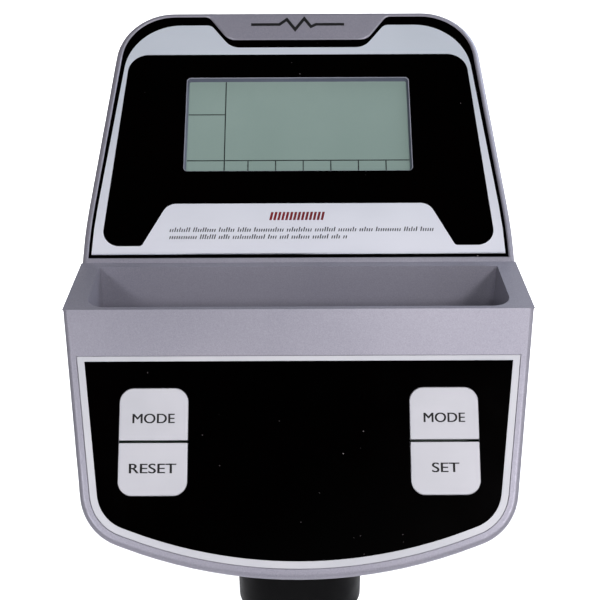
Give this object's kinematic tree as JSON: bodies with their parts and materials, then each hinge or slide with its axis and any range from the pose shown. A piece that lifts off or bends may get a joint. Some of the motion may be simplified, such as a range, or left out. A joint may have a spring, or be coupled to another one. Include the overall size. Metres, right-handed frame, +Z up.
{
  "type": "elliptical trainer console",
  "caption": "Console head of an elliptical trainer: reclined display panel, tray pocket, sloping keypad with sprung keys, rear battery door and a tube spigot for the mast.",
  "frame": {"origin": "middle of the mast spigot's length, on its axis", "axes": "+Z up, +Y away from the user, +X to the user's right; the spigot points down along -Z"},
  "size_m": [0.2378, 0.273, 0.3054],
  "materials": {
    "silver_housing": "fine metallic satin",
    "charcoal_housing": "fine grained",
    "black_cover": "satin",
    "black_film": "high gloss print",
    "display_bezel": "satin",
    "display_glass": "polished",
    "white_reflector": "matte",
    "zebra_rubber": "matte",
    "green_board": "lacquered",
    "white_trim": "satin",
    "ribbon": "satin",
    "black_steel": "powder coated",
    "key_plastic": "satin",
    "switch_case": "satin",
    "zinc_steel": "zinc plated",
    "cell_jacket": "printed wrap",
    "nickel_steel": "nickel plated",
    "capacitor_can": "satin"
  },
  "bodies": {
    "console": {"battery_cell_left_1": "cell_jacket", "battery_cell_left_2": "cell_jacket", "battery_cell_right_1": "cell_jacket", "battery_cell_right_2": "cell_jacket", "battery_contact_left": "nickel_steel", "battery_contact_right": "nickel_steel", "battery_spring_1": "nickel_steel", "battery_spring_2": "nickel_steel", "board_screw_1": "zinc_steel", "board_screw_2": "zinc_steel", "board_screw_3": "zinc_steel", "board_screw_4": "zinc_steel", "bracket_plate": "black_steel", "bracket_screw_1": "zinc_steel", "bracket_screw_2": "zinc_steel", "bracket_screw_3": "zinc_steel", "bracket_screw_4": "zinc_steel", "buzzer": "black_cover", "capacitor_1": "capacitor_can", "capacitor_2": "capacitor_can", "controller_chip": "black_cover", "cover_screw_1": "zinc_steel", "cover_screw_2": "zinc_steel", "cover_screw_3": "zinc_steel", "cover_screw_4": "zinc_steel", "display_overlay": "black_film", "front_housing": "silver_housing", "key_board": "green_board", "key_board_screw_1": "zinc_steel", "key_board_screw_2": "zinc_steel", "keypad_film": "black_film", "keypad_trim": "white_trim", "lcd_backing": "white_reflector", "lcd_frame": "display_bezel", "lcd_glass": "display_glass", "main_board": "green_board", "mode_left_switch": "switch_case", "mode_right_switch": "switch_case", "neck_cover_front": "black_cover", "neck_cover_rear": "black_cover", "neck_screw_left": "zinc_steel", "neck_screw_right": "zinc_steel", "neck_tube": "black_steel", "rear_cover": "charcoal_housing", "reset_switch": "switch_case", "ribbon_cable": "ribbon", "sensor_jack": "black_cover", "set_switch": "switch_case", "spigot_tube": "black_steel", "tray_pocket": "silver_housing", "zebra_strip_high": "zebra_rubber", "zebra_strip_low": "zebra_rubber"},
    "mode_left_key": {"mode_left_key": "key_plastic"},
    "reset_key": {"reset_key": "key_plastic"},
    "mode_right_key": {"mode_right_key": "key_plastic"},
    "set_key": {"set_key": "key_plastic"},
    "battery_door_body": {"battery_door": "charcoal_housing"}
  },
  "joints": [
    {"name": "mode_left_key_press", "type": "slide", "parent": "console", "child": "mode_left_key", "axis": [0, 0.7782, -0.628], "range_m": [0, 0.0008], "stiffness_N_per_m": 1800, "springref_m": -0.0002},
    {"name": "reset_key_press", "type": "slide", "parent": "console", "child": "reset_key", "axis": [0, 0.7782, -0.628], "range_m": [0, 0.0008], "stiffness_N_per_m": 1800, "springref_m": -0.0002},
    {"name": "mode_right_key_press", "type": "slide", "parent": "console", "child": "mode_right_key", "axis": [0, 0.7782, -0.628], "range_m": [0, 0.0008], "stiffness_N_per_m": 1800, "springref_m": -0.0002},
    {"name": "set_key_press", "type": "slide", "parent": "console", "child": "set_key", "axis": [0, 0.7782, -0.628], "range_m": [0, 0.0008], "stiffness_N_per_m": 1800, "springref_m": -0.0002},
    {"name": "battery_door_hinge", "type": "hinge", "parent": "console", "child": "battery_door_body", "pos_m": [0, 0.1241, 0.15996], "axis": [-1, 0, 0], "range_deg": [0, 110]}
  ]
}
